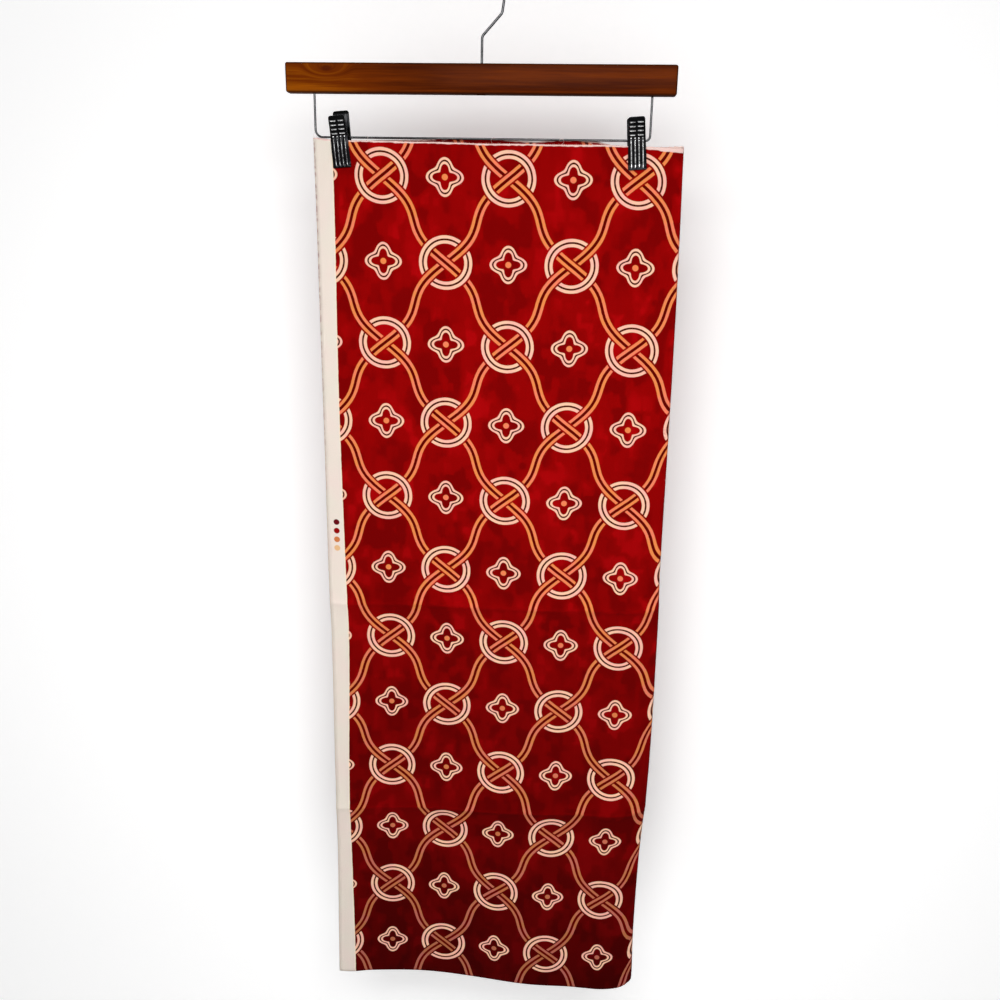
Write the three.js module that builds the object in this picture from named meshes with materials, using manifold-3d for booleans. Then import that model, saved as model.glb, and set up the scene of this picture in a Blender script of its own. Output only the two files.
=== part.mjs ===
// A cut length of upholstery fabric, folded and hung by two spring clips from a wooden bar hanger.
// Millimetres, +Z up, front towards -Y. The origin is the inside of the top of the hook's bend,
// the point that rests on a rail. The middle of the bar is at barZ, the middle of the rod at rodZ.
import * as THREE from "three";
import { RoundedBoxGeometry } from "three/addons/geometries/RoundedBoxGeometry.js";
import { mergeVertices } from "three/addons/utils/BufferGeometryUtils.js";
import Module from "manifold-3d";

const wasm = await Module();
wasm.setup();

// Driving dimensions
const hookWire = 2.3; // diameter
const hookRadius = 18.9; // of the bend, at the middle of the wire
const barToBend = 65.4; // middle of the bar up to the middle of the bend
const bar = { length: 350, depth: 12, height: 25.4, edge: 2, offset: -2 };
const barZ = hookWire / 2 - hookRadius - barToBend; // middle of the bar
const head = { radius: 3.6, thick: 2.4, recess: 6, clear: 1 }; // under the bar, the hook turns on it
const runGap = 0.35; // round the shank and the ends of the rod

const rod = { wire: 2, half: 152, drop: 49.9, bendLeft: 6.5, bendRight: 4.2, inserted: 8 };
const rodZ = barZ - rod.drop;

const plate = { thick: 1, top: 15, foot: 17, front: 44, back: 44, seat: 0.32 };
const ear = { thick: 0.9, round: 2.5, under: 2.05, hole: 1.36, into: 1.2, front: 6.5, back: 5.25 };
const spring = { wire: 0.7, radius: 1.75, pitch: 1.1, turns: 4, arm: 10.55, lean: 48.4 };
// Where each clip sits on the rod, how far its plates rise above it, and how far they lean left
const clips = [
  { name: "clip_left", x: -128.8, frontRise: 17.5, backRise: 23.8, lean: 4.9 },
  { name: "clip_right", x: 140, frontRise: 19.1, backRise: 20.5, lean: 4.4 },
];

// The width is folded in four: each panel's width, the sheet, and the pitch of the layers at a clip
const fabric = { panel: 335, sheet: 1, pitch: 1.45, left: -152.5, innerFold: 1, endAt: 1.2 };
// How much further apart the layers stand beside a clip and lower down, as shares of the pitch
const looser = { aside: 0.14, below: 0.26 };
// The bundle's soft wave across its width, which grows towards the foot
const wave = { depth: 4, length: 330, crest: -55 };
// Creases where the length was folded, which bow the bundle forward
const creases = [
  { share: 0.5, bow: 1.4 },
  { share: 0.75, bow: 1.8 },
];
const creaseHalf = 0.05; // share of the hang
// The layers' raw top edges stand a little higher one behind the other
const ragged = { front: 0.25, back: 0.35, behind: 0.5 };
const backWider = { by: 1.2, about: 0.3 }; // the back half hangs wider at the foot

// One row for each height of the cloth's outline, as a share of its hang, at both edges
const outline = [
  { share: 0, left: -153, right: 182.4 },
  { share: 0.12, left: -152.2, right: 184.6 },
  { share: 0.26, left: -151.5, right: 185.8 },
  { share: 0.45, left: -151.4, right: 186.4 },
  { share: 0.53, left: -150, right: 188.2 },
  { share: 0.7, left: -150.8, right: 188.4 },
  { share: 0.82, left: -150.6, right: 184.2 },
  { share: 0.93, left: -152.4, right: 183.2 },
  { share: 1, left: -153.2, right: 184.6 },
];
// The top edge and the bottom fold, measured from the middle of the bar, along the width
const edges = [
  { x: -153, top: -50.8, foot: -967.4 },
  { x: -139, top: -52.2, foot: -968.3 },
  { x: -117, top: -52.8, foot: -965.8 },
  { x: -60, top: -53.5, foot: -963 },
  { x: 0, top: -54.3, foot: -964.8 },
  { x: 60, top: -54.6, foot: -966.2 },
  { x: 110, top: -54.4, foot: -964.5 },
  { x: 129, top: -54.7, foot: -965.4 },
  { x: 151, top: -55.1, foot: -966 },
  { x: 172, top: -56.3, foot: -961.2 },
  { x: 184, top: -56.8, foot: -949 },
];
const acrossCloth = [0, 14, 36, 90, 150, 205, 255, 282, 304]; // where each panel is divided
// Where the hang is divided, as shares of it; the back half leaves some of them out
const heights = [0, 0.031, 0.045, 0.09, 0.16, 0.25, 0.34, 0.43, 0.475, 0.5, 0.525, 0.6, 0.68,
  0.725, 0.75, 0.775, 0.86, 0.94, 1];
const frontOnly = [0.16, 0.43, 0.68, 0.86];
const footSteps = 6;

const material = {
  wood: { color: "#6b2a0c", roughness: 0.35, metalness: 0 },
  chrome: { color: "#7d7e82", roughness: 0.15, metalness: 1 },
  cloth: { color: "#96120f", roughness: 0.9, metalness: 0 },
};

function named(name, geometry, look) {
  const mesh = new THREE.Mesh(geometry, new THREE.MeshStandardMaterial(look));
  mesh.name = name;
  return mesh;
}

function solidOf(geometry) {
  const bare = geometry.index ? geometry.toNonIndexed() : geometry.clone();
  bare.deleteAttribute("normal");
  bare.deleteAttribute("uv");
  const merged = mergeVertices(bare, 1e-4);
  const vertProperties = merged.attributes.position.array;
  const triVerts = new Uint32Array(merged.index.array);
  return new wasm.Manifold(new wasm.Mesh({ numProp: 3, vertProperties, triVerts }));
}

function geometryOf(solid) {
  const mesh = solid.getMesh();
  const geometry = new THREE.BufferGeometry();
  geometry.setAttribute("position", new THREE.BufferAttribute(mesh.vertProperties, mesh.numProp));
  geometry.setIndex(new THREE.BufferAttribute(mesh.triVerts, 1));
  geometry.computeVertexNormals();
  return geometry;
}

// The value of one column of a table at a place in another column, straight between the rows
function between(table, key, at, column) {
  const next = table.findIndex((row) => row[key] >= at);
  if (next === 0) return table[0][column];
  if (next === -1) return table[table.length - 1][column];
  const [low, high] = [table[next - 1], table[next]];
  const share = (at - low[key]) / (high[key] - low[key]);
  return THREE.MathUtils.lerp(low[column], high[column], share);
}

// A wire's path: its stations are used as they stand, close in the bends and far apart between
class WirePath extends THREE.Curve {
  constructor(stations) {
    super();
    this.stations = stations;
  }
  getPoint(t, target = new THREE.Vector3()) {
    const place = t * (this.stations.length - 1);
    const low = Math.min(Math.floor(place + 1e-9), this.stations.length - 2);
    return target.lerpVectors(this.stations[low], this.stations[low + 1], place - low);
  }
  getTangent(t, target = new THREE.Vector3()) {
    const place = Math.round(t * (this.stations.length - 1));
    const here = this.stations[place];
    const before = this.stations[Math.max(place - 1, 0)];
    const after = this.stations[Math.min(place + 1, this.stations.length - 1)];
    const arriving = here.clone().sub(before).normalize();
    return target.copy(after).sub(here).normalize().add(arriving).normalize();
  }
  getUtoTmapping(u) {
    return u;
  }
}

function wire(stations, diameter, sides) {
  const ring = [];
  for (let i = 0; i < sides; i++) {
    const angle = (2 * Math.PI * i) / sides;
    const r = diameter / 2;
    ring.push(new THREE.Vector2(r * Math.cos(angle), r * Math.sin(angle)));
  }
  const extrudePath = new WirePath(stations);
  const steps = stations.length - 1;
  return new THREE.ExtrudeGeometry(new THREE.Shape(ring), { extrudePath, steps });
}

// Corners in the XZ plane, each with the radius it is bent to, as a list of stations
function bentPath(corners, stepsInBend = 4) {
  const points = corners.map(({ x, z }) => new THREE.Vector3(x, 0, z));
  const stations = [points[0]];
  for (let i = 1; i < points.length - 1; i++) {
    const corner = points[i];
    const back = points[i - 1].clone().sub(corner).normalize();
    const on = points[i + 1].clone().sub(corner).normalize();
    const turn = Math.PI - back.angleTo(on);
    const reach = corners[i].bend * Math.tan(turn / 2);
    const start = corner.clone().addScaledVector(back, reach);
    const end = corner.clone().addScaledVector(on, reach);
    const bend = new THREE.QuadraticBezierCurve3(start, corner, end);
    stations.push(...bend.getPoints(stepsInBend));
  }
  stations.push(points[points.length - 1]);
  return stations;
}

function woodBar() {
  const { length, depth, height, edge, offset } = bar;
  const blank = new RoundedBoxGeometry(length, depth, height, 2, edge).translate(offset, 0, barZ);
  const hole = (x, radius, from, to, sides) => {
    const drill = new THREE.CylinderGeometry(radius, radius, to - from, sides);
    return solidOf(drill.rotateX(Math.PI / 2).translate(x, 0, barZ + (from + to) / 2));
  };
  const under = -height / 2 - 1;
  const shankHole = hole(0, hookWire / 2 + runGap, under, height / 2 + 1, 16);
  const recess = hole(0, head.radius + head.clear, under, head.recess - height / 2, 20);
  const rodHole = (x) => hole(x, rod.wire / 2 + runGap, under, rod.inserted + runGap - height / 2, 12);
  let solid = solidOf(blank).subtract(shankHole).subtract(recess);
  for (const side of [-1, 1]) solid = solid.subtract(rodHole(side * rod.half));
  return named("wood_bar", geometryOf(solid), material.wood);
}

function hook() {
  const seat = barZ - bar.height / 2 + head.recess - runGap; // top of the head
  const middle = barZ + barToBend;
  const joins = THREE.MathUtils.degToRad(-8);
  const stops = THREE.MathUtils.degToRad(174);
  const arcSteps = 22;
  const onArc = (angle) => {
    const out = new THREE.Vector3(Math.cos(angle), 0, Math.sin(angle));
    return out.multiplyScalar(hookRadius).add(new THREE.Vector3(0, 0, middle));
  };
  const start = onArc(joins);
  const corners = [
    { x: 0, z: seat - head.thick / 2 },
    { x: 0, z: barZ + 35.2, bend: 5 },
    { x: 17.4, z: barZ + 53.9, bend: 6 },
    { x: start.x, z: start.z },
  ];
  const stations = bentPath(corners);
  for (let i = 1; i <= arcSteps; i++) {
    stations.push(onArc(joins + ((stops - joins) * i) / arcSteps));
  }
  const tip = new THREE.SphereGeometry(hookWire / 2, 10, 8).translate(...onArc(stops).toArray());
  const disc = new THREE.CylinderGeometry(head.radius, head.radius, head.thick, 20);
  disc.rotateX(Math.PI / 2).translate(0, 0, seat - head.thick / 2);
  const shank = solidOf(wire(stations, hookWire, 12));
  return named("hook", geometryOf(shank.add(solidOf(tip)).add(solidOf(disc))), material.chrome);
}

function clipRod() {
  const end = barZ - bar.height / 2 + rod.inserted;
  const corners = [
    { x: -rod.half, z: end },
    { x: -rod.half, z: rodZ, bend: rod.bendLeft },
    { x: rod.half, z: rodZ, bend: rod.bendRight },
    { x: rod.half, z: end },
  ];
  return named("clip_rod", wire(bentPath(corners), rod.wire, 10), material.chrome);
}

// Half the thickness of the folded cloth where a clip grips it
const gripHalf = 3.5 * fabric.pitch + fabric.sheet / 2;

// A plate of a clip, its outer face towards -Y: handle, bend at the rod, jaw, and lip at the foot
function clipPlate(rise, length, earInside, lean) {
  const jawDepth = gripHalf + plate.seat;
  const foot = rise - length;
  const profile = [
    { depth: jawDepth + 4.4, height: rise },
    { depth: jawDepth + 3.6, height: rise - 3.5 },
    { depth: jawDepth + 1.1, height: 3.5 },
    { depth: jawDepth + 0.8, height: -1 },
    { depth: jawDepth + 0.9, height: -12 },
    { depth: jawDepth, height: foot + 5 },
    { depth: jawDepth, height: foot + 2.6 },
    { depth: jawDepth + 0.7, height: foot },
  ];
  const inner = profile.map(({ depth, height }) => new THREE.Vector2(depth, height));
  const outer = inner.map(({ x, y }) => new THREE.Vector2(x + plate.thick, y)).reverse();
  const strip = new THREE.ExtrudeGeometry(new THREE.Shape([...inner, ...outer]), {
    depth: 1,
    bevelEnabled: false,
  });
  const place = strip.attributes.position;
  for (let i = 0; i < place.count; i++) {
    const [depth, height, across] = [place.getX(i), place.getY(i), 0.5 - place.getZ(i)];
    const width = THREE.MathUtils.lerp(plate.foot, plate.top, (height - foot) / length);
    place.setXYZ(i, across * width, -depth, height);
  }
  let solid = solidOf(strip);
  for (const side of [-1, 1]) {
    solid = solid.add(clipEar(side > 0 ? earInside : -earInside - ear.thick, jawDepth + ear.into));
  }
  const shaped = geometryOf(solid);
  const leaning = shaped.attributes.position;
  const shear = Math.tan(THREE.MathUtils.degToRad(lean));
  for (let i = 0; i < leaning.count; i++) {
    leaning.setX(i, leaning.getX(i) - leaning.getZ(i) * shear);
  }
  return shaped;
}

// An ear runs back from its reach, inside the plate, and goes round the rod
function clipEar(x, reach) {
  const low = -Math.asin(ear.under / ear.round);
  const shape = new THREE.Shape();
  shape.moveTo(reach, -ear.under);
  shape.lineTo(reach, ear.round);
  shape.lineTo(0, ear.round);
  shape.absarc(0, 0, ear.round, Math.PI / 2, Math.PI - low, false);
  const hole = new THREE.Path();
  hole.absarc(0, 0, ear.hole, 0, 2 * Math.PI, true);
  shape.holes.push(hole);
  const flat = new THREE.ExtrudeGeometry(shape, {
    depth: ear.thick,
    bevelEnabled: false,
    curveSegments: 6,
  });
  const turned = new THREE.Matrix4().makeBasis(
    new THREE.Vector3(0, -1, 0),
    new THREE.Vector3(0, 0, 1),
    new THREE.Vector3(-1, 0, 0),
  );
  return solidOf(flat.applyMatrix4(turned).translate(x + ear.thick, 0, 0));
}

// A coil round the rod between the plates, its two arms up the inside of the handles
function clipSpring() {
  const { wire: diameter, radius, pitch, turns, arm, lean } = spring;
  const direction = THREE.MathUtils.degToRad(lean);
  const touch = direction - Math.acos(radius / arm);
  const sweep = 2 * Math.PI * turns + Math.PI + 2 * touch;
  const advance = (pitch * sweep) / (2 * Math.PI);
  const at = (x, r, angle) => new THREE.Vector3(x, -r * Math.cos(angle), r * Math.sin(angle));
  const stations = [at(-advance / 2, arm, direction)];
  const steps = Math.round((10 * sweep) / (2 * Math.PI));
  for (let i = 0; i <= steps; i++) {
    const share = i / steps;
    stations.push(at(advance * (share - 0.5), radius, touch - sweep * share));
  }
  stations.push(at(advance / 2, arm, Math.PI - direction));
  return wire(stations, diameter, 6);
}

function clip({ name, x, frontRise, backRise, lean }) {
  const front = clipPlate(frontRise, plate.front, ear.front, lean);
  const back = clipPlate(backRise, plate.back, ear.back, -lean).rotateZ(Math.PI);
  const group = new THREE.Group();
  group.position.set(x, 0, rodZ);
  group.add(
    named(name + "_front", front, material.chrome),
    named(name + "_back", back, material.chrome),
    named(name + "_spring", clipSpring(), material.chrome),
  );
  return group;
}

// The section of the folded width, seen from above: x from the selvedge to the folds, and depth
// out from the middle of the bundle. Doubled once and doubled again, so the front panel turns
// round the right edge to the innermost one, which leads back through the two between.
// Each entry is a place on the middle of the sheet, with the direction of its left face.
function foldedSection() {
  const { panel, sheet, pitch, innerFold, endAt } = fabric;
  const right = panel - 1.5 * pitch - sheet / 2;
  const left = innerFold + 0.5 * pitch + sheet / 2;
  const margin = 4; // no division this near a fold
  const panels = [
    { level: 3.5, from: 0, to: right },
    { level: 0.5, from: right, to: left },
    { level: 1.5, from: left, to: right },
    { level: 2.5, from: right, to: endAt },
  ];
  const turns = [
    { x: right, level: 2, radius: 1.5, from: 90, to: -90, steps: 5, outward: 1 },
    { x: left, level: 1, radius: 0.5, from: -90, to: -270, steps: 3, outward: 1 },
    { x: right, level: 2, radius: 0.5, from: -90, to: 90, steps: 3, outward: -1 },
  ];
  const line = [];
  panels.forEach(({ level, from, to }, i) => {
    const way = Math.sign(to - from);
    const [low, high] = [Math.min(from, to), Math.max(from, to)];
    const cuts = acrossCloth.filter((x) => x > low + margin && x < high - margin);
    const places = [low, ...cuts, high];
    if (way < 0) places.reverse();
    for (const x of places) line.push({ x, depth: level * pitch, nx: 0, ny: way });
    const turn = turns[i];
    for (let k = 1; turn && k < turn.steps; k++) {
      const angle = THREE.MathUtils.degToRad(turn.from + ((turn.to - turn.from) * k) / turn.steps);
      const [nx, ny] = [Math.cos(angle), Math.sin(angle)];
      const x = turn.x + turn.radius * pitch * nx;
      const depth = (turn.level + turn.radius * ny) * pitch;
      line.push({ x, depth, nx: turn.outward * nx, ny: turn.outward * ny });
    }
  });
  return line;
}

const smooth = THREE.MathUtils.smoothstep;
const toNearestClip = (x) => Math.min(...clips.map((each) => Math.abs(x - each.x)));

// How much the layers stand apart, 1 where a clip presses them together
function looseness(x, share) {
  const aside = looser.aside * smooth(toNearestClip(x), 12, 50);
  const below = looser.below * smooth(share, 0.035, 0.2);
  return 1 + Math.max(aside, below);
}

// How far the middle of the bundle stands back from the plane of the rod
function sway(x, share) {
  const turn = (2 * Math.PI * (x - wave.crest)) / wave.length;
  const back = wave.depth * share * share * Math.cos(turn);
  const bow = creases.reduce(
    (sum, each) => sum + each.bow * Math.max(0, 1 - Math.abs(share - each.share) / creaseHalf),
    0,
  );
  return back - bow * smooth(x, -150, -20);
}

// Where a point of the flat-folded section goes: down the front, round the foot, up the back
function hang(x, depth, station) {
  const { left, panel, pitch } = fabric;
  const { leg, share, angle } = station;
  const edge = (column) => between(outline, "share", share, column);
  const spread = (edge("right") - edge("left")) / panel;
  const wider = leg === "back" ? backWider.by * share : 0;
  const across = edge("left") + x * spread + wider * (x / panel - backWider.about);
  const nominal = left + x;
  const thick = depth * looseness(nominal, share);
  const gripRadius = gripHalf * looseness(nominal, 1);
  const foot = barZ + between(edges, "x", nominal, "foot") + gripRadius;
  const level = depth / pitch;
  const lift = leg === "back" ? ragged.behind + ragged.back * level : ragged.front * (3.5 - level);
  const clear = smooth(toNearestClip(nominal), 14, 45);
  const top = barZ + between(edges, "x", nominal, "top") + clear * lift;
  const middle = sway(nominal, share);
  if (leg === "foot") {
    return [across, middle - thick * Math.cos(angle), foot - thick * Math.sin(angle)];
  }
  const side = leg === "front" ? -1 : 1;
  return [across, middle + side * thick, THREE.MathUtils.lerp(top, foot, share)];
}

// One closed sheet: at each station a ring of points, along one face and back along the other
function cloth() {
  const stations = heights.map((share) => ({ leg: "front", share }));
  for (let i = 1; i < footSteps; i++) {
    stations.push({ leg: "foot", share: 1, angle: (Math.PI * i) / footSteps });
  }
  const backHeights = heights.filter((share) => !frontOnly.includes(share));
  stations.push(...backHeights.reverse().map((share) => ({ leg: "back", share })));
  const line = foldedSection();
  const ring = 2 * line.length;
  const half = fabric.sheet / 2;
  const points = [];
  for (const station of stations) {
    const face = (side) =>
      line.map(({ x, depth, nx, ny }) => hang(x + side * half * nx, depth + side * half * ny, station));
    points.push(...face(1), ...face(-1).reverse());
  }
  const triangles = [];
  const square = (a, b, c, d) => triangles.push(a, c, b, a, d, c);
  for (let k = 0; k < stations.length - 1; k++) {
    for (let i = 0; i < ring; i++) {
      const next = (i + 1) % ring;
      square(k * ring + i, k * ring + next, (k + 1) * ring + next, (k + 1) * ring + i);
    }
  }
  const last = (stations.length - 1) * ring;
  for (let i = 0; i < line.length - 1; i++) {
    const far = ring - 1 - i;
    square(i, far, far - 1, i + 1);
    square(last + i, last + i + 1, last + far - 1, last + far);
  }
  const geometry = new THREE.BufferGeometry();
  geometry.setAttribute("position", new THREE.Float32BufferAttribute(points.flat(), 3));
  geometry.setIndex(triangles);
  geometry.computeVertexNormals();
  return named("cloth", geometry, material.cloth);
}

const hanger = new THREE.Group();
hanger.add(woodBar(), clipRod(), ...clips.map(clip), cloth());

const part = new THREE.Group();
part.add(hook(), hanger);
export default part;
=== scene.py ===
import math
import random

import bmesh
import bpy
from mathutils import Matrix, Vector


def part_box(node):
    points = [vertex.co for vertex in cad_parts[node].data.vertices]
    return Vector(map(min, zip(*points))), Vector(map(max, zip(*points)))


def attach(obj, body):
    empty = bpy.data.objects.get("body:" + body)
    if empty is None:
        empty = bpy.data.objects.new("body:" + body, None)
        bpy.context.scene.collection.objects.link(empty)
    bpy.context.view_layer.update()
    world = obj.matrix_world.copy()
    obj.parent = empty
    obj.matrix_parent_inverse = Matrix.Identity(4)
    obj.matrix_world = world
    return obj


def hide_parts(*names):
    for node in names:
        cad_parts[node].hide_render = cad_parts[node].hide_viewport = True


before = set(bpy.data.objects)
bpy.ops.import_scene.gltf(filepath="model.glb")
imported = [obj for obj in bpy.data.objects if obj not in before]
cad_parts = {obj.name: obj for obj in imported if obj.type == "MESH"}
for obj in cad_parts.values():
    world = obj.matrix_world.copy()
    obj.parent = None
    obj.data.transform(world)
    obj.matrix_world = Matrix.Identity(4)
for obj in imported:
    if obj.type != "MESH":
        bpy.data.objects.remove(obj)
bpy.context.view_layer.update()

# Metres, in the part's own frame: +Z up, the printed front towards -Y, the hook's bend at the origin.
barLow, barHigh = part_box("wood_bar")
barZ = (barLow.z + barHigh.z) / 2
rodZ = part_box("clip_rod")[0].z + 0.001  # the middle of its 2 mm wire
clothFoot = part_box("cloth")[0].z


def ease(value, low, high):
    share = max(0.0, min(1.0, (value - low) / (high - low)))
    return share * share * (3 - 2 * share)


def mix(a, b, share):
    return a + (b - a) * share


def table(columns, *rows):  # one dictionary for each row
    return [dict(zip(columns.split(), row)) for row in rows]


def colour(red, green, blue):  # from 0 to 255 on a screen, to the linear colour that shaders take
    parts = [c / 255 for c in (red, green, blue)]
    return tuple(c / 12.92 if c <= 0.04045 else ((c + 0.055) / 1.055) ** 2.4 for c in parts) + (1.0,)


def grey(value):
    return (value, value, value, 1.0)


# Shader nodes: a Field stands for a socket's value, so that sums on it are written as sums.
class Field:
    def __init__(self, socket):
        self.socket = socket

    def __add__(self, other):
        return calc("ADD", self, other)

    def __sub__(self, other):
        return calc("SUBTRACT", self, other)

    def __rsub__(self, other):
        return calc("SUBTRACT", other, self)

    def __mul__(self, other):
        return calc("MULTIPLY", self, other)

    def __truediv__(self, other):
        return calc("DIVIDE", self, other)

    def __abs__(self):
        return calc("ABSOLUTE", self)

    __radd__ = __add__
    __rmul__ = __mul__


def plug(value, socket):
    if isinstance(value, Field):
        socket.id_data.links.new(value.socket, socket)
    else:
        socket.default_value = value


def addNode(kind, inputs=None, tree=None, **settings):  # in the tree that its inputs come from
    inputs = inputs or {}
    tree = tree or next(each.socket.id_data for each in inputs.values() if isinstance(each, Field))
    node = tree.nodes.new("ShaderNode" + kind)
    for name, value in settings.items():
        setattr(node, name, value)
    for name, value in inputs.items():
        plug(value, node.inputs[name])
    return node


def output(kind, inputs=None, name=0, **settings):  # adds a node and gives one of its outputs
    return Field(addNode(kind, inputs, **settings).outputs[name])


def calc(operation, *values):
    return output("Math", dict(enumerate(values)), operation=operation)


def blend(share, first, second, way="MIX"):
    return output("Mix", {0: share, 6: first, 7: second}, 2, data_type="RGBA", blend_type=way)


def ramp(value, low, high, start=0.0, end=1.0, way="LINEAR"):
    return output("MapRange", dict(enumerate((value, low, high, start, end))), interpolation_type=way)


def fade(value, low, high, way="LINEAR"):
    return ramp(value, low, high, 1.0, 0.0, way)


def split(vector):
    return [Field(each) for each in addNode("SeparateXYZ", {"Vector": vector}).outputs]


def moved(vector, **inputs):
    return output("Mapping", {"Vector": vector, **inputs})


def lengthOf(vector):
    return output("VectorMath", {0: vector}, "Value", operation="LENGTH")


def noise(place, scale, detail=2.0, roughness=0.5):
    return output("TexNoise", {"Vector": place, "Scale": scale, "Detail": detail, "Roughness": roughness})


def objectPlace(tree):
    return output("TexCoord", None, "Object", tree=tree)


def newGroup(name, inputs, outputs):
    group = bpy.data.node_groups.new(name, "ShaderNodeTree")
    kinds = {float: "Float", tuple: "Color", list: "Vector"}
    for label, value in inputs.items():
        kind = "NodeSocket" + kinds[type(value)]
        group.interface.new_socket(name=label, in_out="INPUT", socket_type=kind).default_value = value
    for label, kind in outputs.items():
        group.interface.new_socket(name=label, in_out="OUTPUT", socket_type="NodeSocket" + kind)
    given = {each.name: Field(each) for each in group.nodes.new("NodeGroupInput").outputs}
    return group, given, group.nodes.new("NodeGroupOutput").inputs


def placeGroup(group, inputs):
    return {each.name: Field(each) for each in addNode("Group", inputs, node_tree=group).outputs}


def newMaterial(name, **sockets):
    material = bpy.data.materials.new(name)
    material.use_nodes = True
    tree = material.node_tree
    shader = tree.nodes["Principled BSDF"]
    for label, value in sockets.items():
        shader.inputs[label.replace("_", " ")].default_value = value
    return material, tree, shader.inputs


def addBump(sockets, height, strength, distance):
    plug(output("Bump", {"Height": height, "Strength": strength, "Distance": distance}), sockets["Normal"])


# Modelling: whatever is added or shaped is the only piece selected.
def inScene(name, data):
    piece = bpy.data.objects.new(name, data)
    bpy.context.scene.collection.objects.link(piece)
    return piece


def newMesh(name, points, faces):
    mesh = bpy.data.meshes.new(name)
    mesh.from_pydata(points, [], faces)
    return inScene(name, mesh)


def only(piece):
    bpy.ops.object.select_all(action="DESELECT")
    piece.select_set(True)
    bpy.context.view_layer.objects.active = piece
    return piece


def settle(piece):  # its place and size go into its mesh
    only(piece)
    bpy.ops.object.transform_apply(location=True, rotation=True, scale=True)
    return piece


def added(primitive, name, scale=(1, 1, 1), **settings):
    bpy.ops.object.select_all(action="DESELECT")
    primitive(**settings)
    piece = bpy.context.object
    piece.name = piece.data.name = name
    piece.scale = scale
    return settle(piece)


def drum(name, radius, depth, location, rotation=(0, 0, 0)):
    settings = {"radius": radius, "depth": depth, "location": location, "rotation": rotation}
    return added(bpy.ops.mesh.primitive_cylinder_add, name, vertices=32, **settings)


def editing(yes):
    bpy.ops.object.mode_set(mode="EDIT" if yes else "OBJECT")


def pickAll():
    bpy.ops.mesh.select_all(action="SELECT")


def pick(piece, kind, wanted):  # in edit mode, selects only what passes the test
    bpy.ops.mesh.select_mode(type=kind)
    bpy.ops.mesh.select_all(action="DESELECT")
    shape = bmesh.from_edit_mesh(piece.data)
    for each in shape.verts if kind == "VERT" else shape.edges:
        if wanted(each):
            each.select_set(True)
    shape.select_flush_mode()
    bmesh.update_edit_mesh(piece.data)


def pull(step):
    bpy.ops.mesh.extrude_region_move(TRANSFORM_OT_translate={"value": step})


def closeUp(piece):  # fills open ends and turns every face outwards
    bpy.ops.mesh.select_mode(type="VERT")
    bpy.ops.mesh.select_all(action="DESELECT")
    bpy.ops.mesh.select_non_manifold()
    bpy.ops.mesh.fill_holes(sides=0)
    pickAll()
    bpy.ops.mesh.normals_make_consistent(inside=False)
    editing(False)
    return settle(piece)


def finishWith(piece, kind, **settings):
    modifier = only(piece).modifiers.new(kind.title(), kind)
    for name, value in settings.items():
        setattr(modifier, name, value)
    bpy.ops.object.modifier_apply(modifier=modifier.name)


def combine(piece, tool, operation):
    finishWith(piece, "BOOLEAN", object=tool, operation=operation, solver="EXACT")
    bpy.data.objects.remove(tool)


def handOver(piece, body, node, material):
    piece.data.materials.clear()
    piece.data.materials.append(material)
    only(piece)
    bpy.ops.object.shade_smooth_by_angle(angle=math.radians(40))
    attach(piece, body)
    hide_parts(node)


cameraSet = {
    "lens": 34.0,
    "place": (0.0854, -0.9086, -0.2197),
    "turns": [("Z", 3.894), ("X", -15.466), ("Y", -1.087), ("X", 90)],  # left, down, askew, upright
}


def makeCamera(s):
    data = bpy.data.cameras.new("camera")
    data.lens = s["lens"]
    data.sensor_width = 36.0
    data.clip_end = 50.0
    camera = inScene("camera", data)
    place = Matrix.Translation(s["place"])
    for axis, degrees in s["turns"]:
        place = place @ Matrix.Rotation(math.radians(degrees), 4, axis)
    camera.matrix_world = place
    bpy.context.scene.camera = camera


makeCamera(cameraSet)
print("camera made")

# The folded cloth.
clothSet = {
    "panel": 0.335,  # a quarter of the width
    "pitch": 0.00145,  # between layers, where a clip grips them
    "thick": 0.0006,
    "left": -0.1525,
    "hang": 0.912,  # along the front
    "footRoll": 0.0055,  # mean radius of the fold at the foot
    "margin": 0.0005,  # from the bundle's outside to the clips and the ends of its folds
    "waveDepth": 0.004,
    "waveLength": 0.330,
    "waveCrest": -0.055,
    "ripple": 0.0006,
    "looseAside": 0.14,  # how much thicker the bundle is away from the clips, at the top edge and below
    "looseTop": 0.30,
    "looseTopReach": 0.014,
    "looseBelow": 0.26,
    "leftFlat": 0.45,  # share of a cross crease's height at the left, where it dies away
    "rowStep": 0.0052,
    "rowStepQuick": 0.012,
    "creaseRow": 0.0022,  # share between the rows along a cross crease
    "creaseRows": 5,  # to each side
    "rowsClear": 0.0125,  # share beside a cross crease that is left to its own rows
    "rowsBend": 0.05,  # and over which the other rows bend to run along it
    "backAside": 0.0012,  # how far the back's foot lies aside
    "outerSteps": 76,
    "outerStepsQuick": 30,
    "innerSteps": 18,
    "footSteps": 10,
}
gripped = 3.5 * clothSet["pitch"] + clothSet["margin"]  # half of the bundle in the clips

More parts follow.
